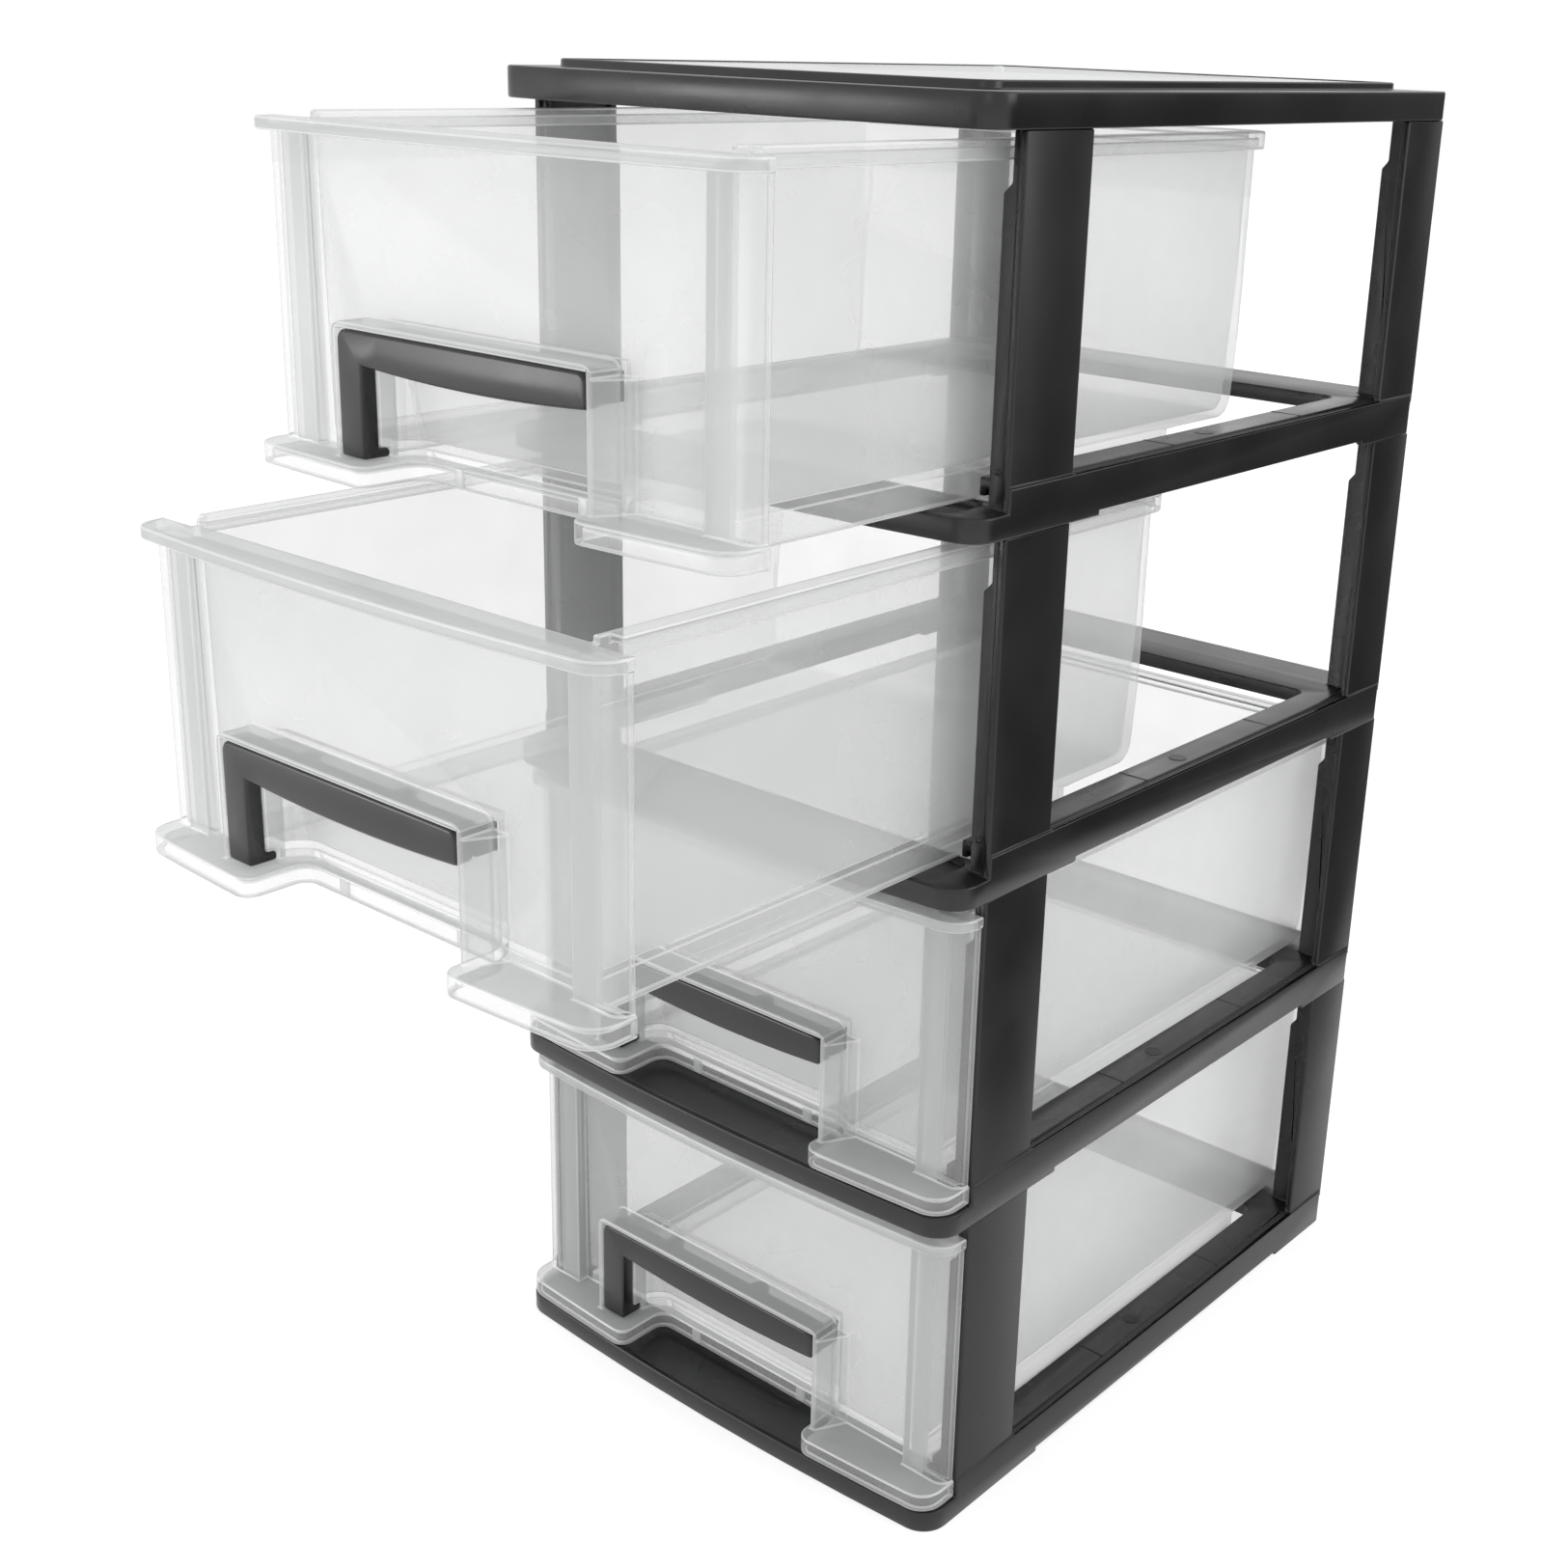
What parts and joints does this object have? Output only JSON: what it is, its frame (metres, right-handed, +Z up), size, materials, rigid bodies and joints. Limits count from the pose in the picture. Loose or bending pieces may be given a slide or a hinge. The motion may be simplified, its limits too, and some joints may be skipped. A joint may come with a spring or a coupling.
{
  "type": "drawer tower",
  "caption": "Stackable desktop drawer tower: black tier frames and lid, translucent sliding drawers with dark clip-on handle covers.",
  "frame": {"origin": "on the floor, in the middle between the front posts and in their front plane, on the foot of the web under the bottom frame's ledge", "axes": "+Z up, +X to the right as seen from the front, +Y to the rear, so the drawers pull out along -Y"},
  "size_m": [0.142, 0.296, 0.3299],
  "materials": {
    "black_frame": "satin black moulded plastic",
    "black_cover": "satin black moulded plastic",
    "clear_drawer": "translucent natural polypropylene",
    "clear_panel": "translucent natural polypropylene"
  },
  "bodies": {
    "tower": {"tier_frame_1": "black_frame", "tier_frame_2": "black_frame", "tier_frame_3": "black_frame", "tier_frame_4": "black_frame", "lid_frame": "black_frame", "lid_panel": "clear_panel"},
    "drawer_unit_1": {"drawer_1": "clear_drawer", "handle_cover_1": "black_cover"},
    "drawer_unit_2": {"drawer_2": "clear_drawer", "handle_cover_2": "black_cover"},
    "drawer_unit_3": {"drawer_3": "clear_drawer", "handle_cover_3": "black_cover"},
    "drawer_unit_4": {"drawer_4": "clear_drawer", "handle_cover_4": "black_cover"}
  },
  "joints": [
    {"name": "drawer_1_slide", "type": "slide", "parent": "tower", "child": "drawer_unit_1", "axis": [0, -1, 0], "range_m": [-0.07, 0.08]},
    {"name": "drawer_2_slide", "type": "slide", "parent": "tower", "child": "drawer_unit_2", "axis": [0, -1, 0], "range_m": [-0.103, 0.047]},
    {"name": "drawer_3_slide", "type": "slide", "parent": "tower", "child": "drawer_unit_3", "axis": [0, -1, 0], "range_m": [0, 0.15]},
    {"name": "drawer_4_slide", "type": "slide", "parent": "tower", "child": "drawer_unit_4", "axis": [0, -1, 0], "range_m": [0, 0.15]}
  ]
}
